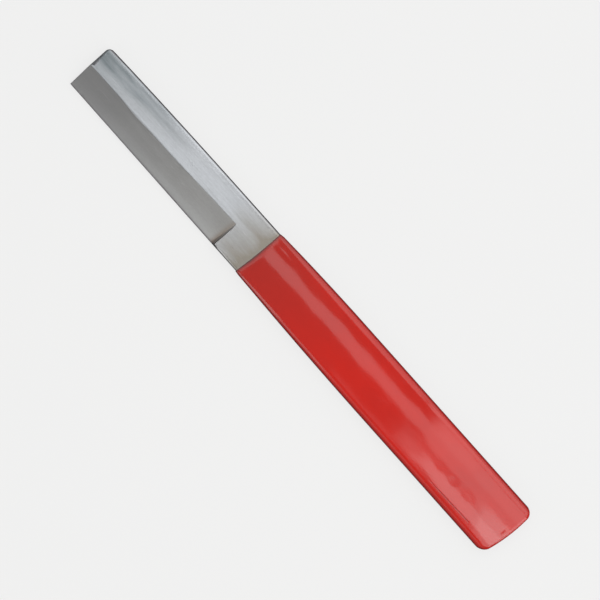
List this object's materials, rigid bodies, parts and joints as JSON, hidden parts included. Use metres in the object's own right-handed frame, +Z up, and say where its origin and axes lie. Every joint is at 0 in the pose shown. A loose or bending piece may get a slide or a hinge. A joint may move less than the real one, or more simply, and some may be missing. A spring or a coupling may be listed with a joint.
{
  "type": "hive tool",
  "caption": "Flat steel hive tool with a blade ground to a chisel edge along one side, and a vinyl grip dipped over its tang.",
  "frame": {"origin": "middle of the bounding box, on the surface the tool lies on", "axes": "+X from the blade's tip to the butt of the grip, +Y towards the spine, +Z up, with the ground bevel facing up"},
  "size_m": [0.25, 0.0258, 0.0064],
  "materials": {
    "steel": "ground and brushed along the blade",
    "vinyl": "smooth glossy red dipped vinyl"
  },
  "bodies": {
    "root": {"blade_and_tang": "steel", "dipped_grip": "vinyl"}
  },
  "joints": []
}
